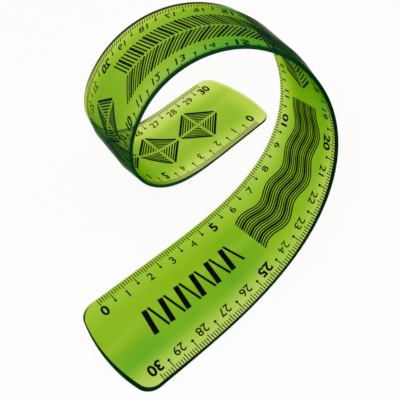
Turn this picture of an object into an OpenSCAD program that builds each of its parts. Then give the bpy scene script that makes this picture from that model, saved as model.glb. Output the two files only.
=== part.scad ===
// A flexible 30 cm ruler in clear green plastic, curled once over itself.
// Both ends lie flat on the table and the middle stands up as a slanted loop.
// The blade is one moulding with a flat printed face and thinner long edges.
// It bends without stretching, so it is described flat:
// s runs along the ruler from the zero mark, w runs across it and h stands on the printed face.
// The bend at each place turns about a slanted line, and place(s, w, h) gives the point in space.

/* [Blade] */
// Length between the first and the last mark
scale_len = 300; // [290:10:330]
// Plain plastic beyond the first and the last mark
end_margin = 10; // [9:0.5:13]
// Width across both scales
blade_w = 40; // [36:1:44]
// Thickness in the middle
blade_t = 2.4; // [1.8:0.1:3]
// Thickness at the long edges
edge_t = 1; // [0.8:0.1:1.6]
// Width of the band along each long edge where the back slopes up
slope_w = 10; // [8:0.5:12]
// Radius of the bowed ends
end_r = 60; // [50:1:90]
// Radius of the four corners
corner_r = 6; // [4:0.5:8]
// Bevel along the edges
edge_bevel = 0.25; // [0.1:0.05:0.35]

/* [Curl] */
// Distance from the zero mark to where the blade leaves the table
lift_at = 12.5; // [10:0.5:15]
// Distance from the fifth station to where it lies flat again
land_at = 30; // [26:1:34]
// Distance between the stations, the places where bend and slant are given
station = 50; // [45:1:56]
// Bend one station from the zero mark, in degrees per station
bend_1 = 35.5; // [32.5:0.5:38.5]
// Bend at the second station
bend_2 = 71.5; // [68.5:0.5:74.5]
// Bend at the fourth station
bend_4 = 59.5; // [56.5:0.5:62.5]
// Slant of the bending line at the second station, in degrees from square
slant_2 = 15; // [13:0.5:17]
// Slant at the third station, over the top
slant_3 = 11.5; // [10:0.5:13]
// Slant at the fourth station
slant_4 = 27; // [25:0.5:29]
// Slant at the fifth station
slant_5 = 7.5; // [6:0.5:9]

/* [Scales] */
// Thickness of the printed ink
ink_t = 0.1; // [0.06:0.02:0.2]
// Gap between the marks and the long edge
mark_gap = 0.5; // [0.4:0.1:1]
// Width of every mark
mark_w = 0.3; // [0.2:0.02:0.4]
// Length of a millimetre mark
mm_mark = 2.1; // [1.6:0.1:2.4]
// Length of a centimetre mark
cm_mark = 2.8; // [2.5:0.1:3.4]
// Length of a half-centimetre mark
half_mark = 4; // [3.5:0.1:4.6]
// Diameter of the dot on a half-centimetre mark
dot_d = 1; // [0.7:0.1:1.2]
// Gap between a dot and its mark
dot_gap = 0.05; // [0.02:0.01:0.2]

/* [Pattern] */
// Width of the thin pattern lines
line_w = 0.6; // [0.4:0.05:0.7]
// Width of the bold zigzag strokes
bold_w = 2; // [1.6:0.1:2.2]
// Width of the lighter zigzag strokes
thin_w = 0.9; // [0.6:0.1:1]
// Height of the zigzag across the blade
zigzag_h = 10; // [8:0.5:12]
// Length of one zigzag turn
zigzag_pitch = 7; // [6:0.5:8]
// Width along each edge that the pattern leaves to the scale
scale_band = 10.5; // [9.5:0.5:12]
// Distance between nested chevrons
chevron_pitch = 1.5; // [1.4:0.1:2.4]
// Length of one wave
wave_len = 16; // [12:1:20]
// Height of a wave to each side
wave_h = 1.3; // [0.8:0.1:1.6]
// Length of one lozenge
lozenge_len = 23; // [18:1:23]

/* [Hidden] */

plastic = "yellowgreen";
ink = "black";
half_w = blade_w / 2;
band_half = half_w - scale_band;
// the surface that bends without stretching lies midway through the thin edges
face_h = edge_t / 2;
back_h = blade_t - face_h;
whole_cm = scale_len / 10;
// spacing of the cross sections along the blade, and of the worked-out centre line
ring_gap = 2;
step = 1;
face_spans = 8;
end_slices = 5;
// the centre line reaches past both ends, because a slanted bending line does too
run_out = half_w + end_margin;
line_from = -run_out;
line_to = scale_len + run_out;

// v turned by an angle about a unit axis
function turned(v, axis, angle) =
    v * cos(angle) + cross(axis, v) * sin(angle) + axis * (axis * v) * (1 - cos(angle));

// bend in degrees per millimetre, and slope of the bending line, along the centre line
// free holds the third bend, the fifth bend and the first slant
function bend_table(free) = [[lift_at, 0], [station, bend_1 / station], [2 * station, bend_2 / station],
    [3 * station, free[0] / station], [4 * station, bend_4 / station], [5 * station, free[1] / station],
    [5 * station + land_at, 0]];
function slope_table(free) = [[station, tan(free[2])], [2 * station, tan(slant_2)],
    [3 * station, tan(slant_3)], [4 * station, tan(slant_4)], [5 * station, tan(slant_5)]];

// one step along the centre line; a frame is [s, point, along, across]
function next_frame(f, bends, slopes) =
    let (
        mid = f[0] + step / 2,
        slope = lookup(mid, slopes),
        tilt = sqrt(1 + slope ^ 2),
        axis = -(slope * f[2] + f[3]) / tilt,
        angle = lookup(mid, bends) * step * tilt
    )
    [
        f[0] + step,
        f[1] + step * turned(f[2], axis, angle / 2),
        turned(f[2], axis, angle),
        turned(f[3], axis, angle)
    ];

start = [line_from, [line_from, 0, back_h], [1, 0, 0], [0, 1, 0]];
function centre_line(free) =
    let (bends = bend_table(free), slopes = slope_table(free))
    [for (f = start; f[0] <= line_to; f = next_frame(f, bends, slopes)) f];

// how far the far end tilts two ways and stands off the table
function miss(free) =
    let (line = centre_line(free), f = line[len(line) - 1], square = cross(f[2], f[3]))
    [square.x, square.y, (f[1].z - back_h) / station];

// the free bends and slant are worked out, so that the far end always lies flat on the table
function settled(free, tries) =
    let (
        m = miss(free),
        a = (miss(free + [nudge, 0, 0]) - m) / nudge,
        b = (miss(free + [0, nudge, 0]) - m) / nudge,
        c = (miss(free + [0, 0, nudge]) - m) / nudge,
        change = [m * cross(b, c), a * cross(m, c), a * cross(b, m)] / (a * cross(b, c))
    )
    tries == 0 ? free : settled(free - change, tries - 1);

nudge = 0.01;
first_guess = [100, 100, 30];
free = settled(first_guess, 8);
frames = centre_line(free);
slopes = slope_table(free);
function slope(s) = lookup(s, slopes);

function mix(a, b, share) = a * (1 - share) + b * share;

// where the bending line through (s, w) crosses the centre line
function crossing(s, w, guess, tries = 7) =
    tries == 0 ? guess : crossing(s, w, s - w * slope(guess), tries - 1);

// point, along, across and square directions of the blade at (s, w)
function frame_at(s, w) =
    let (
        q = crossing(s, w, s),
        x = (q - line_from) / step,
        i = floor(x),
        a = frames[i],
        b = frames[i + 1],
        along = mix(a[2], b[2], x - i),
        across = mix(a[3], b[3], x - i)
    )
    [mix(a[1], b[1], x - i) + w * (across + slope(q) * along), along, across, cross(along, across)];

function unplaced(s, w, h) = let (f = frame_at(s, w)) f[0] + h * f[3];

// cross sections: the bowed end, its corner, then the straight length
corner_in = half_w - corner_r;
bow_half = corner_in * end_r / (end_r - corner_r);
corner_at = end_r - sqrt((end_r - corner_r) ^ 2 - corner_in ^ 2);
corner_start = acos((end_r - corner_at) / (end_r - corner_r));
function bow(w) = end_r - sqrt(end_r ^ 2 - w ^ 2);
tip = bow(bow_half / end_slices);
end_outline = concat(
    [for (i = [1:end_slices]) let (w = bow_half * i / end_slices) [bow(w) - tip, w]],
    [for (i = [1:end_slices]) let (a = corner_start + (90 - corner_start) * i / end_slices)
        [corner_at - corner_r * cos(a) - tip, corner_in + corner_r * sin(a)]]);
end_len = corner_at - tip;
straight_from = -end_margin + end_len;
straight_to = scale_len + end_margin - end_len;
ring_count = ceil((straight_to - straight_from) / ring_gap);
sections = concat(
    [for (p = end_outline) [p[0] - end_margin, p[1]]],
    [for (i = [1:ring_count - 1]) [mix(straight_from, straight_to, i / ring_count), half_w]],
    [for (i = [len(end_outline) - 1:-1:0]) let (p = end_outline[i]) [scale_len + end_margin - p[0], p[1]]]);

// height of the back: level in the middle, and sloping up toward the long edges
function back(w) = (blade_t - edge_t) * max(0, abs(w) - half_w + slope_w) / slope_w - back_h;

// the bevelled section of the blade, as [w, h]
function section(half) =
    let (flat = half - edge_bevel, low_h = back(flat) + edge_bevel)
    concat(
        [for (i = [0:face_spans]) [flat * (2 * i / face_spans - 1), face_h]],
        [[half, face_h - edge_bevel], [half, low_h]],
        [for (i = [0:face_spans]) let (w = flat * (1 - 2 * i / face_spans)) [w, back(w)]],
        [[-half, low_h], [-half, face_h - edge_bevel]]);

ring_size = len(section(half_w));
blade_points = [for (c = sections) for (p = section(c[1])) unplaced(c[0], p[0], p[1])];

// the origin is under the middle of the curled ruler, on the table
function low(axis) = min([for (p = blade_points) p[axis]]);
function high(axis) = max([for (p = blade_points) p[axis]]);
origin = [(low(0) + high(0)) / 2, (low(1) + high(1)) / 2, low(2)];
function place(s, w, h) = unplaced(s, w, h) - origin;

// walls of a body swept through rings of equal size, closed at both ends
function swept_faces(rings, size) = concat(
    [[for (i = [size - 1:-1:0]) i]],
    [for (k = [0:rings - 2]) for (i = [0:size - 1]) let (a = k * size, b = a + size, j = (i + 1) % size)
        each [[a + i, a + j, b + j], [a + i, b + j, b + i]]],
    [[for (i = [0:size - 1]) (rings - 1) * size + i]]);

module blade() {
    color(plastic)
        translate(-origin)
            polyhedron(blade_points, swept_faces(len(sections), ring_size));
}

// puts its children on the printed face at (s, w), with x along and y across the blade
module on_face(s, w) {
    f = frame_at(s, w);
    p = place(s, w, face_h);
    multmatrix([
        [f[1].x, f[2].x, f[3].x, p.x],
        [f[1].y, f[2].y, f[3].y, p.y],
        [f[1].z, f[2].z, f[3].z, p.z],
        [0, 0, 0, 1]])
        children();
}

// one scale mark that starts beside the edge and runs inward
// side is 1 for the top edge and -1 for the bottom edge
module mark(s, side, length) {
    on_face(s, side * (half_w - mark_gap - length / 2))
        translate([-mark_w / 2, -length / 2, 0])
            cube([mark_w, length, ink_t]);
}

module millimetre_marks(side) {
    color(ink)
        for (s = [0:scale_len])
            if (s % 5 != 0)
                mark(s, side, mm_mark);
}

module half_marks(side) {
    color(ink)
        for (s = [5:10:scale_len])
            mark(s, side, half_mark);
}

// the dot stands just clear of the inner end of its mark
module dots(side) {
    color(ink)
        for (s = [5:10:scale_len])
            on_face(s, side * (half_w - mark_gap - half_mark - dot_gap - dot_d / 2))
                cylinder(d = dot_d, h = ink_t, $fn = 24);
}

module centimetre_marks(side) {
    color(ink)
        for (c = [0:whole_cm])
            mark(10 * c, side, cm_mark);
}

module top_millimetre_marks() { millimetre_marks(1); }
module top_half_marks() { half_marks(1); }
module top_centimetre_marks() { centimetre_marks(1); }
module top_dots() { dots(1); }
module bottom_millimetre_marks() { millimetre_marks(-1); }
module bottom_half_marks() { half_marks(-1); }
module bottom_centimetre_marks() { centimetre_marks(-1); }
module bottom_dots() { dots(-1); }

// direction of a flat path at point i, as a unit vector
function heading(path, i) =
    let (d = path[min(i + 1, len(path) - 1)] - path[max(i - 1, 0)])
    d / norm(d);

// a printed line of even width that follows a flat path on the face
module ribbon(path, width) {
    points = [for (i = [0:len(path) - 1])
        let (d = heading(path, i), side = [-d.y, d.x] * width / 2, a = path[i] - side, b = path[i] + side)
        each [
            place(a.x, a.y, face_h + ink_t),
            place(b.x, b.y, face_h + ink_t),
            place(b.x, b.y, face_h),
            place(a.x, a.y, face_h)]];
    polyhedron(points, swept_faces(len(path), 4));
}

// a straight flat path in so many pieces
function straight(a, b, pieces) = [for (i = [0:pieces]) mix(a, b, i / pieces)];

zigzag_from = 8;
zigzag_turns = 6;
module zigzag_print() {
    color(ink)
        for (i = [0:zigzag_turns - 1]) {
            s = zigzag_from + zigzag_pitch * i;
            quarter = zigzag_pitch / 4;
            rise = straight([s, -zigzag_h / 2], [s + quarter, zigzag_h / 2], 3);
            fall = straight([s + 2 * quarter, zigzag_h / 2], [s + 3 * quarter, -zigzag_h / 2], 3);
            ribbon(rise, bold_w);
            ribbon(fall, thin_w);
        }
}

wave_from = 56;
wave_to = 110;
wave_lines = 15;
wave_gap = 2 * (band_half - wave_h) / (wave_lines - 1);
module wave_print() {
    color(ink)
        for (k = [0:wave_lines - 1]) {
            w = wave_gap * (k - (wave_lines - 1) / 2);
            turn = 360 / wave_len;
            crest = [for (s = [wave_from:ring_gap:wave_to]) [s, w + wave_h * sin(turn * (s - wave_from))]];
            ribbon(crest, line_w);
        }
}

chevron_from = 116;
chevron_to = 192;
chevron_point = 5;
module chevron_print() {
    color(ink)
        for (s = [chevron_from:chevron_pitch:chevron_to], side = [-1, 1])
            ribbon(straight([s, side * line_w], [s + chevron_point, side * band_half], 2), line_w);
}

lozenge_from = 202;
lozenge_count = 4;
lozenge_nests = 7;
lozenge_gap = 1;
module lozenge_print() {
    color(ink)
        for (i = [0:lozenge_count - 1], k = [1:lozenge_nests], along = [-1, 1], side = [-1, 1]) {
            middle = lozenge_from + lozenge_len * (i + 0.5);
            share = k / lozenge_nests;
            reach = (lozenge_len - lozenge_gap) / 2 * share;
            ribbon(straight([middle + along * (reach - line_w), side * line_w],
                [middle + along * line_w, side * band_half * share], 2), line_w);
        }
}

blade();
top_millimetre_marks();
top_half_marks();
top_centimetre_marks();
top_dots();
bottom_millimetre_marks();
bottom_half_marks();
bottom_centimetre_marks();
bottom_dots();
zigzag_print();
wave_print();
chevron_print();
lozenge_print();
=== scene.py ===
import math
import bmesh
import bpy
import numpy as np
from mathutils import Matrix, Vector


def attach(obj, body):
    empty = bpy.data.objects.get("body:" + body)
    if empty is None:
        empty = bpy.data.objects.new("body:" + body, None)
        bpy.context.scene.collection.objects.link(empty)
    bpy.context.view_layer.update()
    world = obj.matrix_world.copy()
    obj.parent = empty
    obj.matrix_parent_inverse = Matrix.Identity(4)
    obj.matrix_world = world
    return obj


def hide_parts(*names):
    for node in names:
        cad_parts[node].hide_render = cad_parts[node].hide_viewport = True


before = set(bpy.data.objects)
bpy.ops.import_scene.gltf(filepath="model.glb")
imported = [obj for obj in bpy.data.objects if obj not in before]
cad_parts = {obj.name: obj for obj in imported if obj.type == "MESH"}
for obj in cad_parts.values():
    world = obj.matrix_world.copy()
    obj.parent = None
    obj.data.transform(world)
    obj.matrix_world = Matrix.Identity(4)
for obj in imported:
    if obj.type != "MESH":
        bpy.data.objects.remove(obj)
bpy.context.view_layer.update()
mm = 0.001
centimetre = 10  # mm from one numeral to the next
mapUnit = 100 * mm  # the flat map that carries the plastic's pattern is in decimetres
mergeDistance = 1e-7  # metres

# flat first, in mm: x along the ruler from the zero mark, y across it, z up from its unstretched layer
rulerSize = {
    "scaleLength": 300, "endMargin": 10, "width": 40, "endRadius": 60, "cornerRadius": 6,
    "thickness": 2.4, "edgeThickness": 1.0, "slopeWidth": 10,  # the back slopes up to thin long edges
}
curl = {
    "liftAt": 12.5, "landAt": 280, "stations": [50, 100, 150, 200, 250],  # mm from the zero mark
    # the third and fifth bend and the first slant bring the far end down level on the table
    "bends": [7.1, 14.3, 19.3097, 11.9, 21.6778],  # degrees per cm at each station
    "slants": [29.636, 15, 11.5, 27, 7.5],  # degrees that the bending lines lean from square
    "step": 0.5, "spareEnd": 4, "slantRounds": 6,
}
halfWidth = rulerSize["width"] / 2
faceHeight = rulerSize["edgeThickness"] / 2
backDepth = rulerSize["thickness"] - faceHeight


class Wire:
    # a socket that takes part in maths; every node comes from node()
    def __init__(self, tree, socket=None):
        self.tree = tree
        self.socket = socket

    def node(self, kind, settings=None, values=None, out=0):
        made = self.tree.nodes.new(kind)
        for key, value in (settings or {}).items():
            setattr(made, key, value)
        for key, value in (values or {}).items():
            if isinstance(value, Wire):
                self.tree.links.new(value.socket, made.inputs[key])
            else:
                made.inputs[key].default_value = value
        if isinstance(out, tuple):
            return [Wire(self.tree, made.outputs[key]) for key in out]
        return Wire(self.tree, made.outputs[out]) if len(made.outputs) else None

    def maths(self, operation, a, b=0.0):
        return self.node("ShaderNodeMath", {"operation": operation}, {0: a, 1: b})

    def vectorMaths(self, operation, a, b):
        return self.node("ShaderNodeVectorMath", {"operation": operation}, {0: a, 1: b})

    def scaled(self, vector, factor):
        return self.node("ShaderNodeVectorMath", {"operation": "SCALE"}, {0: vector, "Scale": factor})

    def __add__(self, other):
        return self.maths("ADD", self, other)

    def __radd__(self, other):
        return self.maths("ADD", other, self)

    def __sub__(self, other):
        return self.maths("SUBTRACT", self, other)

    def __rsub__(self, other):
        return self.maths("SUBTRACT", other, self)

    def __mul__(self, other):
        return self.maths("MULTIPLY", self, other)

    def __rmul__(self, other):
        return self.maths("MULTIPLY", other, self)

    def __truediv__(self, other):
        return self.maths("DIVIDE", self, other)

    def __abs__(self):
        return self.maths("ABSOLUTE", self)

    def rise(self, low, high):  # 0 below low, 1 above high, smooth between
        limits = {0: self, 1: low, 2: high, 3: 0.0, 4: 1.0}
        return self.node("ShaderNodeMapRange", {"interpolation_type": "SMOOTHSTEP"}, limits)

    def mixFloat(self, share, a, b):
        return self.node("ShaderNodeMix", {"data_type": "FLOAT"}, {0: share, 2: a, 3: b})

    def mixVector(self, share, a, b):
        return self.node("ShaderNodeMix", {"data_type": "VECTOR"}, {0: share, 4: a, 5: b}, 1)

    def mixColour(self, share, a, b):
        return self.node("ShaderNodeMix", {"data_type": "RGBA"}, {0: share, 6: a, 7: b}, 2)

    def noise(self, place, scale, detail):
        values = {"Vector": place, "Scale": scale, "Detail": detail}
        return self.node("ShaderNodeTexNoise", {}, values, "Fac")


def paint(red, green, blue):  # a screen colour as linear light
    shares = [level / 255 for level in (red, green, blue)]
    return tuple(c / 12.92 if c <= 0.04 else ((c + 0.055) / 1.055) ** 2.4 for c in shares) + (1.0,)


def flatObject(name, data=None):
    piece = bpy.data.objects.new(name, data or bpy.data.meshes.new(name))
    bpy.context.scene.collection.objects.link(piece)
    return piece


def evaluatedMesh(piece):
    bpy.context.view_layer.update()
    return bpy.data.meshes.new_from_object(piece.evaluated_get(bpy.context.evaluated_depsgraph_get()))


def meshFrom(name, build):
    mesh = bpy.data.meshes.new(name)
    build.to_mesh(mesh)
    build.free()
    return mesh


# the centre line of the curl, with the directions along and across the blade
def turned(vector, axis, angle):
    cosine, sine = math.cos(angle), math.sin(angle)
    return vector * cosine + np.cross(axis, vector) * sine + axis * (axis @ vector) * (1 - cosine)


def makeCentreLine():
    stations, step = curl["stations"], curl["step"]
    bendPlaces = [curl["liftAt"], *stations, curl["landAt"]]
    bendValues = [0, *(math.radians(bend / centimetre) for bend in curl["bends"]), 0]
    slopes = [math.tan(math.radians(slant)) for slant in curl["slants"]]
    runOut = halfWidth * slopes[0] + rulerSize["endMargin"] + curl["spareEnd"]
    place = -runOut
    point = np.array([place, 0, backDepth])
    along, across = np.array([1.0, 0, 0]), np.array([0, 1.0, 0])
    rows = []
    while place <= rulerSize["scaleLength"] + runOut:
        rows.append((point, along, across, np.interp(place, stations, slopes)))
        slope = np.interp(place + step / 2, stations, slopes)
        tilt = math.hypot(1, slope)
        axis = -(slope * along + across) / tilt
        angle = np.interp(place + step / 2, bendPlaces, bendValues) * step * tilt
        point = point + step * turned(along, axis, angle / 2)
        along, across = turned(along, axis, angle), turned(across, axis, angle)
        place += step
    mesh = bpy.data.meshes.new("centreLine")
    links = [(i, i + 1) for i in range(len(rows) - 1)]
    mesh.from_pydata([tuple(row[0] * mm) for row in rows], links, [])
    columns = {
        "alongBlade": ("FLOAT_VECTOR", "vector", 1), "acrossBlade": ("FLOAT_VECTOR", "vector", 2),
        "slope": ("FLOAT", "value", 3),
    }
    for name, (kind, key, column) in columns.items():
        layer = mesh.attributes.new(name, kind, "POINT")
        layer.data.foreach_set(key, np.array([row[column] for row in rows], float).ravel())
    return flatObject("centreLine", mesh), -runOut * mm, step * mm


centreLine, lineStart, lineStep = makeCentreLine()


def newTree(name, inputs):
    tree = bpy.data.node_groups.new(name, "GeometryNodeTree")
    tree.interface.new_socket("Geometry", in_out="INPUT", socket_type="NodeSocketGeometry")
    for label, kind, value in inputs:
        socket = tree.interface.new_socket(label, in_out="INPUT", socket_type="NodeSocket" + kind)
        if value is not None:
            socket.default_value = value
    tree.interface.new_socket("Geometry", in_out="OUTPUT", socket_type="NodeSocketGeometry")
    start, end = tree.nodes.new("NodeGroupInput"), tree.nodes.new("NodeGroupOutput")
    given = {socket.name: Wire(tree, socket) for socket in start.outputs if socket.name}
    return Wire(tree), given, end


def makeCurlTree():
    # bends flat geometry onto the curled ruler without stretching it
    wire, given, end = newTree("curlOntoRuler", [("Centre line", "Object", None)])
    line = wire.node("GeometryNodeObjectInfo", {"transform_space": "ORIGINAL"},
                     {"Object": given["Centre line"]}, "Geometry")

    def field(name, kind):
        return wire.node("GeometryNodeInputNamedAttribute", {"data_type": kind}, {"Name": name}), kind

    fields = {
        "slope": field("slope", "FLOAT"),
        "along": field("alongBlade", "FLOAT_VECTOR"),
        "across": field("acrossBlade", "FLOAT_VECTOR"),
        "place": (wire.node("GeometryNodeInputPosition"), "FLOAT_VECTOR"),
    }

    def read(name, where):  # a value of the centre line, between two of its points
        source, kind = fields[name]
        index = (where - lineStart) / lineStep
        low = wire.maths("FLOOR", index)
        settings = {"data_type": kind, "domain": "POINT", "clamp": True}
        ends = [wire.node("GeometryNodeSampleIndex", settings, {0: line, 1: source, 2: low + extra})
                for extra in (0.0, 1.0)]
        mix = wire.mixFloat if kind == "FLOAT" else wire.mixVector
        return mix(index - low, *ends)

    position = wire.node("GeometryNodeInputPosition")
    flatAlong, flatAcross, height = wire.node("ShaderNodeSeparateXYZ", {}, {0: position}, (0, 1, 2))
    foot = flatAlong  # where the bending line through this point crosses the middle of the blade
    for _ in range(curl["slantRounds"]):
        foot = flatAlong - flatAcross * read("slope", foot)
    along, across = read("along", foot), read("across", foot)
    lean = wire.vectorMaths("ADD", across, wire.scaled(along, read("slope", foot)))
    upward = wire.scaled(wire.vectorMaths("CROSS_PRODUCT", along, across), height)
    place = wire.vectorMaths("ADD", read("place", foot), wire.scaled(lean, flatAcross))
    place = wire.vectorMaths("ADD", place, upward)
    bent = wire.node("GeometryNodeSetPosition", {}, {"Geometry": given["Geometry"], "Position": place})
    wire.tree.links.new(bent.socket, end.inputs[0])
    return wire.tree


curlTree = makeCurlTree()


def finishTree(wire, end, geometry, material):
    solid = wire.node("GeometryNodeRealizeInstances", {}, {"Geometry": geometry})
    bent = wire.node("GeometryNodeGroup", {"node_tree": curlTree},
                     {"Geometry": solid, "Centre line": centreLine})
    dressed = wire.node("GeometryNodeSetMaterial", {}, {"Geometry": bent, "Material": material})
    wire.tree.links.new(dressed.socket, end.inputs[0])


def grow(piece, tree, settings):
    # runs the tree on a flat piece and keeps the result as a plain mesh
    modifier = piece.modifiers.new("grow", "NODES")
    modifier.node_group = tree
    for item in tree.interface.items_tree:
        if item.item_type == "SOCKET" and item.in_out == "INPUT" and item.name in settings:
            modifier[item.identifier] = settings[item.name]
    mesh = evaluatedMesh(piece)
    piece.modifiers.remove(modifier)
    finish = next(material for material in mesh.materials if material)
    mesh.materials.clear()  # leaves no empty slot behind
    mesh.materials.append(finish)
    mesh.polygons.foreach_set("material_index", [0] * len(mesh.polygons))
    piece.data = mesh
    mesh.name = piece.name
    return piece


def curled(name, mesh, material):
    # a flat mesh that only needs to be bent and finished
    wire, given, end = newTree(name + "Tree", [])
    finishTree(wire, end, given["Geometry"], material)
    return grow(flatObject(name, mesh), wire.tree, {})


# plastic; places are decimetres on the flat map, along it from the zero mark or across it from the middle
plasticLook = {
    # the pale colour is partly the plastic's paler tint and partly a painted sheen; the deep colour is
    # partly a deeper tint and partly painted shade
    "green": paint(178, 211, 76), "paleTintAndSheen": paint(242, 244, 222), "deepTintAndShade": paint(82, 184, 94),
    "depthColour": paint(223, 239, 4), "depthDensity": 700.0,  # per metre
    "ior": 1.01, "roughness": 0.02, "scuffRoughness": 0.03, "scuffScale": 900.0, "scuffDetail": 3.0,
    "coat": 0.1, "coatRoughness": 0.14, "coatFade": (0.55, 0.85),  # the gloss fades at grazing angles
    "rubScale": (6.0, 140.0, 1.0), "rubDetail": 2.0, "rubBump": 0.08, "rubDepth": 0.0002,
    # the edge colours are painted shade on the cut edges, greener in places along the blade
    "edge": paint(3, 36, 14), "edgeGreen": paint(10, 76, 32), "edgeRoughness": 0.5,
    "edgeIor": 1.5, "edgeClear": (0.6, 0.95),  # shares of light reflected within, where the edges clear
    "scaleBand": (0.07, 0.16), "driftScale": 3.2, "driftDetail": 1.5,
    "driftPale": (0.3, 0.7), "driftPaleShares": (0.6, 0.8), "driftDeep": (0.46, 0.7),
    "streamSwing": 0.045, "streamTurns": 4.2, "streamStart": 0.6, "streamHalf": (0.004, 0.03),
    # the far end carries a painted highlight along its bowed rim
    "streamPale": 0.12, "farEndSheen": 0.6, "farEndSheenBand": (0.01, 0.1),
    "zeroCloudAt": -0.06, "zeroCloudHalf": (0.02, 0.09),
    # amounts along the blade: the first at the zero end, then changes as (amount, from, to)
    # the pale amounts are partly the plastic's own paler tint and partly painted sheen where the top of the
    # curl and the far end face the light; the lower scale's dip where the curl turns over is painted shade
    "tintAndSheenAll": [0.0, (0.08, 0.4, 0.8), (0.2, 1.4, 1.9), (-0.12, 2.3, 2.6), (0.2, 2.85, 3.05)],
    "tintAndSheenTopScale": [0.05, (0.25, 0.4, 0.9), (0.75, 1.2, 1.6)],
    "tintSheenAndShadeBottomScale": [0.36, (-0.36, 1.0, 1.25), (0.8, 2.3, 2.7)],
    "sheenAboveBottom": [0.0, (0.12, 1.4, 1.9)],
    "deepMiddle": [0.32, (-0.32, 2.4, 2.8)],
    # painted shade on the lower scale where the curl turns over
    "shadeWhereBottomScaleTurns": [0.0, (1.0, 0.95, 1.2), (-0.7, 1.5, 1.8), (-0.3, 2.0, 2.3)],
    "deepZeroEnd": [0.25, (-0.25, 0.3, 0.6)],
    # the painted edge shade turns greener at these places along the blade
    "edgeGreenShare": [0.0, (0.4, 1.2, 1.5), (0.6, 2.1, 2.4), (-1.0, 2.6, 2.8)],
}


def newMaterial(name):
    material = bpy.data.materials.new(name)
    material.use_nodes = True
    material.node_tree.nodes.clear()
    return material, Wire(material.node_tree)


def amountAlong(along, name):
    amount, *changes = plasticLook[name]
    for change, start, full in changes:
        amount = amount + change * along.rise(start, full)
    return amount


def plasticColour(wire, flat, along, across):
    look = plasticLook
    drift = wire.noise(flat, look["driftScale"], look["driftDetail"])
    upper, lower = across.rise(*look["scaleBand"]), (0 - across).rise(*look["scaleBand"])
    # a paler stream wanders along the middle; the scales are paler in places, partly their own tint and
    # partly painted sheen, and a painted highlight lies along the far end and on the top of the curl
    middle = look["streamSwing"] * wire.maths("SINE", along * look["streamTurns"] + look["streamStart"])
    stream = 1 - abs(across - middle).rise(*look["streamHalf"])
    tip = (rulerSize["scaleLength"] + rulerSize["endMargin"]) * mm / mapUnit
    bow = mapUnit / (2 * rulerSize["endRadius"] * mm)
    farEndSheenShare = 1 - (tip - along - across * across * bow).rise(*look["farEndSheenBand"])
    paleTintAndSheen = upper * amountAlong(along, "tintAndSheenTopScale") + lower * amountAlong(along, "tintSheenAndShadeBottomScale")
    paleTintAndSheen = paleTintAndSheen + (1 - lower) * amountAlong(along, "sheenAboveBottom") + amountAlong(along, "tintAndSheenAll")
    paleTintAndSheen = paleTintAndSheen + look["streamPale"] * stream + look["farEndSheen"] * farEndSheenShare
    least, more = look["driftPaleShares"]
    paleTintAndSheen = wire.maths("MINIMUM", paleTintAndSheen * (least + more * drift.rise(*look["driftPale"])), 1.0)
    # deeper green lies in clouds along the middle and at the zero end; painted shade darkens the lower scale
    # where the curl turns over
    deepTintAndShade = (1 - upper) * (1 - lower) * drift.rise(*look["driftDeep"]) * amountAlong(along, "deepMiddle")
    zeroCloud = 1 - abs(across - look["zeroCloudAt"]).rise(*look["zeroCloudHalf"])
    deepTintAndShade = deepTintAndShade + lower * amountAlong(along, "shadeWhereBottomScaleTurns")
    deepTintAndShade = deepTintAndShade + zeroCloud * amountAlong(along, "deepZeroEnd")
    return wire.mixColour(paleTintAndSheen, wire.mixColour(deepTintAndShade, look["green"], look["deepTintAndShade"]), look["paleTintAndSheen"])


def makePlastic():
    look = plasticLook
    material, wire = newMaterial("clearGreenPlastic")
    flat = wire.node("ShaderNodeUVMap", {"uv_map": "flatRuler"})
    along, across = wire.node("ShaderNodeSeparateXYZ", {}, {0: flat}, (0, 1))
    body = wire.node("ShaderNodeTexCoord", out="Object")
    scuffs = wire.noise(body, look["scuffScale"], look["scuffDetail"])
    drawnOut = wire.node("ShaderNodeMapping", {}, {"Vector": flat, "Scale": look["rubScale"]})
    rubs = wire.noise(drawnOut, 1.0, look["rubDetail"])  # fine marks along the blade
    dents = wire.node("ShaderNodeBump", {}, {
        "Strength": look["rubBump"], "Distance": look["rubDepth"], "Height": rubs})
    facing = wire.node("ShaderNodeLayerWeight", out="Facing")
    clear = wire.node("ShaderNodeBsdfPrincipled", {}, {
        "Base Color": plasticColour(wire, flat, along, across), "Normal": dents,
        "Roughness": look["roughness"] + scuffs * look["scuffRoughness"],
        "Transmission Weight": 1.0, "IOR": look["ior"],
        "Coat Weight": look["coat"] * (1 - facing.rise(*look["coatFade"])),
        "Coat Roughness": look["coatRoughness"]})
    # the cut edges are partly the colour of the whole blade gathered in them and partly painted shade,
    # almost black on the sides turned from the light, save where light stays within
    rim = wire.node("ShaderNodeAttribute", {"attribute_name": "rim"}, out="Fac")
    within = wire.node("ShaderNodeFresnel", {}, {"IOR": look["edgeIor"]}).rise(*look["edgeClear"])
    edgeColour = wire.mixColour(amountAlong(along, "edgeGreenShare"), look["edge"], look["edgeGreen"])
    edge = wire.node("ShaderNodeBsdfPrincipled", {}, {
        "Base Color": edgeColour, "Roughness": look["edgeRoughness"], "Specular IOR Level": 0.0})
    surface = wire.node("ShaderNodeMixShader", {}, {0: rim * (1 - within), 1: clear, 2: edge})
    depth = wire.node("ShaderNodeVolumeAbsorption", {}, {
        "Color": look["depthColour"], "Density": look["depthDensity"]})
    wire.node("ShaderNodeOutputMaterial", {}, {"Surface": surface, "Volume": depth})
    return material


# ink
inkLook = {
    "colour": paint(6, 8, 6), "worn": paint(18, 24, 14), "wornFrom": (0.5, 0.8), "gloss": 0.01,
    "roughness": 0.42, "roughnessSpread": 0.2, "grainScale": 1400.0, "grainDetail": 2.0,
}


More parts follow.
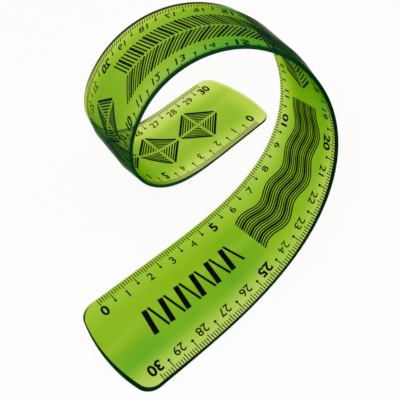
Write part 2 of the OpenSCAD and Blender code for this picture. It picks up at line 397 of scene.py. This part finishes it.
def makeInk():
    look = inkLook
    material, wire = newMaterial("blackInk")
    body = wire.node("ShaderNodeTexCoord", out="Object")
    grain = wire.noise(body, look["grainScale"], look["grainDetail"])
    shader = wire.node("ShaderNodeBsdfPrincipled", {}, {
        "Base Color": wire.mixColour(grain.rise(*look["wornFrom"]), look["colour"], look["worn"]),
        "Roughness": look["roughness"] + (grain - 0.5) * look["roughnessSpread"],
        "Specular IOR Level": look["gloss"]})
    wire.node("ShaderNodeOutputMaterial", {}, {"Surface": shader})
    return material


plastic, ink = makePlastic(), makeInk()
print("finishes made")

# the blade
bladeMesh = {
    "alongStep": 1.0, "faceSpans": 24, "endSlices": 14, "bevelAngles": [0, 8, 32, 60, 90], "sharpAngle": 40,
    "faceBevel": 0.35, "faceBevelDepth": 0.2, "backBevel": 0.4,
    # the lower edge is rounded off more: on the back all along, on the printed face by (place, width)
    "backExtra": 0.35, "zeroEndExtra": 0.45,
    "faceExtra": [(0, 0.6), (20, 0.25), (60, 0.25), (90, 0.65), (255, 0.65), (275, 0.1)],
    # painted edge shade by (place, share): the top edge where the blade stands up, and the back beside both
    # long edges
    "edgeShadeTop": [(125, 0), (150, 1), (262, 1), (275, 0)], "edgeShadeGain": 1.5,
    "backShadeBottom": [(100, 0), (130, 0.5), (255, 0.5), (275, 0)],
    "backShadeTop": [(150, 0), (180, 1), (262, 1), (278, 0)],
}


def bladeAmount(name, place):
    places, values = zip(*bladeMesh[name])
    return float(np.interp(place, places, values))


def endOutline():
    # (distance from the tip, half width) with the outward direction there: the bowed end, then its corner
    big, small = rulerSize["endRadius"], rulerSize["cornerRadius"]
    inner = halfWidth - small
    cornerAt = big - math.sqrt((big - small) ** 2 - inner ** 2)
    join = math.asin(inner / (big - small))
    slices = bladeMesh["endSlices"]
    arcs = [(join * i / slices, big, big, 0) for i in range(slices + 1)]
    rest = math.pi / 2 - join
    arcs += [(join + rest * i / slices, small, cornerAt, inner) for i in range(1, slices + 1)]
    points = []
    for angle, radius, middle, side in arcs:
        cosine, sine = math.cos(angle), math.sin(angle)
        points.append((middle - radius * cosine, side + radius * sine, -cosine, sine))
    return points


def backHeight(across):
    rise = rulerSize["thickness"] - rulerSize["edgeThickness"]
    slope = rulerSize["slopeWidth"]
    return rise * max(0, abs(across) - halfWidth + slope) / slope - backDepth


def edgePoints(place, half, outAlong, outAcross, side):
    # points (along, across, up, share of painted edge shade) from the printed face over one edge to the back
    toLower = (1 - side * half / halfWidth) / 2
    toZero, toFar = max(-outAlong, 0), max(outAlong, 0)
    extra = bladeAmount("faceExtra", place) * (1 - toFar) + bladeMesh["zeroEndExtra"] * toZero
    faceWide = bladeMesh["faceBevel"] + extra * toLower
    backWide = bladeMesh["backBevel"] + bladeMesh["backExtra"] * toLower * (1 - toFar)
    # painted shade: the lower long edge, the zero end and the top edge where the blade stands up are dark,
    # the far end stays clear, and the back is shaded beside both long edges
    edgeShadeAmount = max(toLower, toZero, bladeAmount("edgeShadeTop", place)) * (1 - toFar) * bladeMesh["edgeShadeGain"]
    backShade = toLower * bladeAmount("backShadeBottom", place) + (1 - toLower) * bladeAmount("backShadeTop", place)
    backStart = backHeight(half - outAcross * backWide)
    face, back = [], []
    for degrees in bladeMesh["bevelAngles"]:
        angle = math.radians(degrees)
        share = min(1, edgeShadeAmount) * (degrees > 0)
        inset = faceWide * (1 - math.sin(angle))
        height = faceHeight - bladeMesh["faceBevelDepth"] * (1 - math.cos(angle))
        face.append((place - outAlong * inset, half - outAcross * inset, height, share))
        inset = backWide * (1 - math.sin(angle))
        height = backStart + bladeMesh["backBevel"] * (1 - math.cos(angle))
        back.append((place - outAlong * inset, half - outAcross * inset, height, max(share, backShade)))
    return [(x, side * y, z, rim) for x, y, z, rim in face + back[::-1]]


def bladeRing(place, half, outAlong, outAcross):
    # round the blade: the printed face, the top edge, the back and the bottom edge
    top, bottom = (edgePoints(place, half, outAlong, outAcross, side) for side in (1, -1))
    spans = bladeMesh["faceSpans"]
    shares = [i / spans for i in range(1, spans)]
    (lowX, lowY), (highX, highY) = bottom[0][:2], top[0][:2]
    front = [(lowX + (highX - lowX) * u, lowY + (highY - lowY) * u, faceHeight, 0.0) for u in shares]
    backX, backY = top[-1][:2]
    back = [(backX, y, backHeight(y), 0.0) for y in (backY * (1 - 2 * u) for u in shares)]
    return front + top + back + bottom[::-1]


def bladeRows():
    # (place, half width) with the outward direction there, from the zero end to the far end
    ends = endOutline()
    zeroTip, farTip = -rulerSize["endMargin"], rulerSize["scaleLength"] + rulerSize["endMargin"]
    near = [(zeroTip + d, half, outAlong, outAcross) for d, half, outAlong, outAcross in ends]
    far = [(farTip - d, half, -outAlong, outAcross) for d, half, outAlong, outAcross in reversed(ends)]
    start, run = near[-1][0], far[0][0] - near[-1][0]
    count = round(run / bladeMesh["alongStep"])
    return near + [(start + run * i / count, halfWidth, 0, 1) for i in range(1, count)] + far


def makeBlade():
    build = bmesh.new()
    # each point carries its share of painted edge shade
    edgeShadeLayer = build.verts.layers.float.new("rim")
    uvLayer = build.loops.layers.uv.new("flatRuler")
    rings = []
    for row in bladeRows():
        ring = []
        for x, y, z, rim in bladeRing(*row):
            vert = build.verts.new((x * mm, y * mm, z * mm))
            vert[edgeShadeLayer] = rim
            ring.append(vert)
        rings.append(ring)
    count = len(rings[0])
    for ring, following in zip(rings, rings[1:]):
        for i in range(count):
            j = (i + 1) % count
            build.faces.new((ring[j], ring[i], following[i], following[j]))
    # both tips close on their middle line
    bmesh.ops.remove_doubles(build, verts=rings[0] + rings[-1], dist=mergeDistance)
    for face in build.faces:
        face.smooth = True
        for loop in face.loops:
            loop[uvLayer].uv = (loop.vert.co.x / mapUnit, loop.vert.co.y / mapUnit)
    bmesh.ops.recalc_face_normals(build, faces=build.faces)
    piece = curled("rulerBlade", meshFrom("rulerBlade", build), plastic)
    piece.data.set_sharp_from_angle(angle=math.radians(bladeMesh["sharpAngle"]))
    return piece


blade = makeBlade()
spots = np.array([vert.co for vert in blade.data.vertices])
low, high = spots.min(0), spots.max(0)
home = Vector(((low[0] + high[0]) / 2, (low[1] + high[1]) / 2, low[2]))  # under the middle of its box
print("blade", len(blade.data.polygons), "faces, box in mm", np.round((high - low) / mm, 2))

# the ink bites a little into the face, so that it also shows through the plastic from behind
inkLayer = {"height": 0.07, "bite": 0.03}
inkLift = faceHeight + inkLayer["height"] / 2 - inkLayer["bite"]

# scale marks
marks = {
    "gap": 0.5, "width": 0.34, "millimetre": 2.1, "centimetre": 2.8, "half": 4.0,
    "dot": 1.0, "dotGap": 0.05, "dotSides": 20, "lengthPoints": 4, "longerEvery": 5,
}


def makeMarkTree():
    wire, given, end = newTree("markRow", [
        ("First", "Float", 0.0), ("Spacing", "Float", mm), ("Count", "Int", 10), ("Across", "Float", 0.0),
        ("Length", "Float", mm), ("Width", "Float", mm), ("Height", "Float", mm), ("Lift", "Float", 0.0),
        ("Round", "Bool", False), ("Leave out longer", "Bool", False)])
    first = wire.node("ShaderNodeCombineXYZ", {}, {0: given["First"], 1: given["Across"], 2: given["Lift"]})
    gap = wire.node("ShaderNodeCombineXYZ", {}, {0: given["Spacing"]})
    row = wire.node("GeometryNodeMeshLine", {"mode": "OFFSET"}, {
        "Count": given["Count"], "Start Location": first, "Offset": gap})
    size = wire.node("ShaderNodeCombineXYZ", {}, {0: given["Width"], 1: given["Length"], 2: given["Height"]})
    bar = wire.node("GeometryNodeMeshCube", {}, {
        "Size": size, "Vertices X": 2, "Vertices Y": marks["lengthPoints"], "Vertices Z": 2})
    disc = wire.node("GeometryNodeMeshCylinder", {"fill_type": "NGON"}, {
        "Vertices": marks["dotSides"], "Side Segments": 1, "Radius": given["Width"] / 2,
        "Depth": given["Height"]})
    shape = wire.node("GeometryNodeSwitch", {"input_type": "GEOMETRY"}, {0: given["Round"], 1: bar, 2: disc})
    # a longer mark of another row takes the place of every fifth one
    place = wire.maths("MODULO", wire.node("GeometryNodeInputIndex"), marks["longerEvery"])
    longer = wire.node("ShaderNodeMath", {"operation": "COMPARE"}, {0: place, 1: 0.0, 2: 0.1})
    copies = wire.node("GeometryNodeInstanceOnPoints", {}, {
        "Points": row, "Selection": 1 - longer * given["Leave out longer"], "Instance": shape})
    finishTree(wire, end, copies, ink)
    return wire.tree


markTree = makeMarkTree()


def markRow(name, side, first, spacing, length,
            inset=0.0, width=marks["width"], dot=False, leaveOut=False):
    count = (rulerSize["scaleLength"] - 2 * first) // spacing + 1
    across = side * (halfWidth - marks["gap"] - inset - length / 2)
    return grow(flatObject(name), markTree, {
        "First": first * mm, "Spacing": spacing * mm, "Count": count, "Across": across * mm,
        "Length": length * mm, "Width": width * mm, "Height": inkLayer["height"] * mm, "Lift": inkLift * mm,
        "Round": dot, "Leave out longer": leaveOut})


inkPieces = []
halfway = centimetre // 2
for row, side in (("top", 1), ("bottom", -1)):
    millimetres = markRow(row + "MillimetreMarks", side, 0, 1, marks["millimetre"], leaveOut=True)
    halves = markRow(row + "HalfMarks", side, halfway, centimetre, marks["half"])
    centimetres = markRow(row + "CentimetreMarks", side, 0, centimetre, marks["centimetre"])
    dots = markRow(row + "Dots", side, halfway, centimetre, marks["dot"],
                   marks["half"] + marks["dotGap"], marks["dot"], dot=True)
    inkPieces += [(millimetres, row + "_millimetre_marks"), (halves, row + "_half_marks"),
                  (centimetres, row + "_centimetre_marks"), (dots, row + "_dots")]
print("scale marks made")

# numerals
numerals = {
    "fromEdge": 5.8, "boldEvery": 5, "bold": 5.4, "plain": 4.6, "boldWeight": 0.18, "plainWeight": 0.05,
    "curveSteps": 4,
}


def numeralMesh(value):
    # one numeral, flat and round its own middle
    weight = "plain" if value % numerals["boldEvery"] else "bold"
    text = bpy.data.curves.new("numeral", "FONT")
    text.body = str(value)
    text.size = numerals[weight] * mm
    if "4" not in text.body:  # a heavier 4 loses its hole
        text.offset = numerals[weight + "Weight"] * mm
    text.extrude = inkLayer["height"] / 2 * mm
    text.resolution_u = numerals["curveSteps"]
    holder = flatObject("numeral", text)
    mesh = evaluatedMesh(holder)
    bpy.data.objects.remove(holder)
    spread = np.array([vert.co for vert in mesh.vertices])
    mesh.transform(Matrix.Translation(-Vector((spread.min(0) + spread.max(0)) / 2)))
    return mesh


def makeNumerals(name, side):
    # the bottom row runs the other way, upside down
    joined = bmesh.new()
    length = rulerSize["scaleLength"]
    turn = Matrix.Rotation(0 if side > 0 else math.pi, 4, "Z")
    for value in range(length // centimetre + 1):
        along = value * centimetre if side > 0 else length - value * centimetre
        place = Vector((along, side * (halfWidth - numerals["fromEdge"]), inkLift)) * mm
        mesh = numeralMesh(value)
        mesh.transform(Matrix.Translation(place) @ turn)
        joined.from_mesh(mesh)
        bpy.data.meshes.remove(mesh)
    bmesh.ops.remove_doubles(joined, verts=joined.verts, dist=mergeDistance)
    return curled(name, meshFrom(name, joined), ink)


numeralPieces = [makeNumerals("topNumerals", 1), makeNumerals("bottomNumerals", -1)]
print("numerals made")

# printed pattern, in lines of two weights
pattern = {"line": 0.6, "strongLine": 1.0, "strongEvery": 4, "bandHalf": 9.5, "pointSpacing": 0.8}


def makeStrokeTree():
    wire, given, end = newTree("printedStroke", [
        ("Width", "Float", mm), ("Height", "Float", mm), ("Spacing", "Float", mm)])
    path = wire.node("GeometryNodeMeshToCurve", {}, {"Mesh": given["Geometry"]})
    even = wire.node("GeometryNodeResampleCurve", {"mode": "LENGTH"}, {
        "Curve": path, "Length": given["Spacing"]})
    upright = wire.node("GeometryNodeSetCurveNormal", {"mode": "Z_UP"}, {"Curve": even})
    outline = wire.node("GeometryNodeCurvePrimitiveQuadrilateral", {}, {
        "Width": given["Width"], "Height": given["Height"]})
    solid = wire.node("GeometryNodeCurveToMesh", {}, {
        "Curve": upright, "Profile Curve": outline, "Fill Caps": True})
    finishTree(wire, end, solid, ink)
    return wire.tree


strokeTree = makeStrokeTree()


def strokes(name, *groups):
    joined = bmesh.new()
    for width, paths in groups:
        verts, edges = [], []
        for path in paths:
            edges += [(len(verts) + i, len(verts) + i + 1) for i in range(len(path) - 1)]
            verts += [(along * mm, across * mm, inkLift * mm) for along, across in path]
        mesh = bpy.data.meshes.new(name)
        mesh.from_pydata(verts, edges, [])
        part = grow(flatObject(name, mesh), strokeTree, {
            "Width": width * mm, "Height": inkLayer["height"] * mm, "Spacing": pattern["pointSpacing"] * mm})
        joined.from_mesh(part.data)
        bpy.data.objects.remove(part)
    mesh = meshFrom(name, joined)
    mesh.materials.append(ink)
    return flatObject(name, mesh)


def twoWeights(paths, isStrong):
    strong = [path for k, path in enumerate(paths) if isStrong(k)]
    fine = [path for k, path in enumerate(paths) if not isStrong(k)]
    return (pattern["strongLine"], strong), (pattern["line"], fine)


zigzag = {"from": 8, "turns": 6, "pitch": 7, "tall": 10, "bold": 2.0, "thin": 0.9}


def makeZigzag():
    quarter, tall = zigzag["pitch"] / 4, zigzag["tall"] / 2
    starts = [zigzag["from"] + zigzag["pitch"] * i for i in range(zigzag["turns"])]
    rising = [[(start, -tall), (start + quarter, tall)] for start in starts]
    falling = [[(start + 2 * quarter, tall), (start + 3 * quarter, -tall)] for start in starts]
    return strokes("zigzagStrokes", (zigzag["bold"], rising), (zigzag["thin"], falling))


waves = {"from": 56, "to": 110, "lines": 15, "length": 16, "tall": 1.3}


def makeWaves():
    lines, tall, every = waves["lines"], waves["tall"], pattern["strongEvery"]
    gap = 2 * (pattern["bandHalf"] - tall) / (lines - 1)
    levels = [gap * (k - (lines - 1) / 2) for k in range(lines)]
    places = range(waves["from"], waves["to"] + 1)
    swings = [tall * math.sin(math.tau * (place - waves["from"]) / waves["length"]) for place in places]
    paths = [[(place, level + swing) for place, swing in zip(places, swings)] for level in levels]
    return strokes("waveLines", *twoWeights(paths, lambda k: k % every == every - 1))


chevrons = {"from": 116, "to": 192, "pitch": 1.5, "point": 5}


def makeChevrons():
    places = np.arange(chevrons["from"], chevrons["to"], chevrons["pitch"])
    paths = [[(place, side * pattern["line"]), (place + chevrons["point"], side * pattern["bandHalf"])]
             for place in places for side in (-1, 1)]
    return strokes("chevronLines", *twoWeights(paths, lambda k: k // 2 % pattern["strongEvery"] == 0))


lozenges = {"from": 202, "count": 4, "length": 23, "nests": 7, "gap": 1}


def makeLozenges():
    line, nests = pattern["line"], lozenges["nests"]
    paths = []
    for i in range(lozenges["count"]):
        centre = lozenges["from"] + lozenges["length"] * (i + 0.5)
        for share in np.arange(nests, 0, -1) / nests:  # from the outermost line inwards
            reach = (lozenges["length"] - lozenges["gap"]) / 2 * share
            tall = pattern["bandHalf"] * share
            paths += [[(centre + ahead * (reach - line), side * line), (centre + ahead * line, side * tall)]
                      for ahead in (-1, 1) for side in (-1, 1)]
    return strokes("lozengeLines", *twoWeights(paths, lambda k: k // 4 % nests == 0))


inkPieces += [(makeZigzag(), "zigzag_print"), (makeWaves(), "wave_print"),
              (makeChevrons(), "chevron_print"), (makeLozenges(), "lozenge_print")]
print("pattern made")

# every piece moves from the curl's own start to the middle of the ruler's box and rides on the one body
allPieces = [blade] + numeralPieces + [piece for piece, node in inkPieces]
for piece in allPieces:
    piece.data.transform(Matrix.Translation(-home))
    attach(piece, "root")
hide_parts("blade")
for piece, node in inkPieces:
    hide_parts(node)
bpy.data.objects.remove(centreLine)
print("pieces placed", len(allPieces))

# floor and light, in metres
stage = {
    "white": 1.0, "worldLight": 0.62,
    "floorColour": (0.86, 0.86, 0.86, 1), "floorHalf": 3, "floorDrop": 0.0004,
    "shadowShare": 0.1, "shadowFade": (0.15, 0.9),  # far away the floor is as white as the backdrop
    "keyLamp": {"power": 2.2, "size": 0.35, "place": (-0.3, -0.25, 0.6)},
    "fillLamp": {"power": 0.6, "size": 0.5, "place": (0.5, -0.3, 0.4)},
    "lampTarget": (0, 0, 0.03),
}


def whiteToCamera(wire):
    camera, glossy, through = wire.node(
        "ShaderNodeLightPath", out=("Is Camera Ray", "Is Glossy Ray", "Is Transmission Ray"))
    return wire.maths("MAXIMUM", wire.maths("MAXIMUM", camera, glossy), through)


def makeFloor():
    material, wire = newMaterial("paleFloor")
    soft = wire.node("ShaderNodeBsdfDiffuse", {}, {"Color": stage["floorColour"]})
    glow = wire.node("ShaderNodeEmission", {}, {"Color": (1, 1, 1, 1), "Strength": stage["white"]})
    place = wire.node("ShaderNodeTexCoord", out="Object")
    distance = wire.node("ShaderNodeVectorMath", {"operation": "LENGTH"}, {0: place}, "Value")
    shadow = stage["shadowShare"] * (1 - distance.rise(*stage["shadowFade"]))
    shader = wire.node("ShaderNodeMixShader", {}, {0: whiteToCamera(wire) * (1 - shadow), 1: soft, 2: glow})
    wire.node("ShaderNodeOutputMaterial", {}, {"Surface": shader})
    half = stage["floorHalf"]
    corners = ((-half, -half), (half, -half), (half, half), (-half, half))
    mesh = bpy.data.meshes.new("floor")
    mesh.from_pydata([(x, y, -stage["floorDrop"]) for x, y in corners], [], [(0, 1, 2, 3)])
    mesh.materials.append(material)
    flatObject("floor", mesh)


def makeLight():
    world = bpy.data.worlds.new("studio")
    world.use_nodes = True
    world.node_tree.nodes.clear()
    wire = Wire(world.node_tree)
    dim, bright = (wire.node("ShaderNodeBackground", {}, {"Color": (1, 1, 1, 1), "Strength": stage[level]})
                   for level in ("worldLight", "white"))
    sky = wire.node("ShaderNodeMixShader", {}, {0: whiteToCamera(wire), 1: dim, 2: bright})
    wire.node("ShaderNodeOutputWorld", {}, {"Surface": sky})
    bpy.context.scene.world = world
    for name in ("keyLamp", "fillLamp"):
        lamp = bpy.data.lights.new(name, "AREA")
        lamp.energy, lamp.size = stage[name]["power"], stage[name]["size"]
        holder = flatObject(name, lamp)
        holder.location = stage[name]["place"]
        aim = Vector(stage["lampTarget"]) - holder.location
        holder.rotation_euler = aim.to_track_quat("-Z", "Y").to_euler()


# the camera's place in mm from the curl's start, the picture's directions and the lens in pixels
view = {
    "place": (-30.46, -94.63, 184.78), "pixelLens": 610.4, "pixels": 400, "sensor": 36, "clip": (0.01, 20),
    "right": (0.7595, -0.6458, -0.0785), "down": (-0.5413, -0.5603, -0.6269),
}


def makeCamera():
    camera = bpy.data.cameras.new("camera")
    camera.sensor_width = view["sensor"]
    camera.lens = view["pixelLens"] / view["pixels"] * view["sensor"]
    camera.clip_start, camera.clip_end = view["clip"]
    holder = flatObject("camera", camera)
    right, up = Vector(view["right"]), -Vector(view["down"])
    axes = Matrix((right, up, right.cross(up))).transposed().to_4x4()
    place = (Vector(view["place"]) + Vector((0, 0, backDepth))) * mm - home
    holder.matrix_world = Matrix.Translation(place) @ axes
    bpy.context.scene.camera = holder


makeFloor()
makeLight()
makeCamera()
bpy.context.scene.view_settings.view_transform = "Standard"
print("stage and camera made")
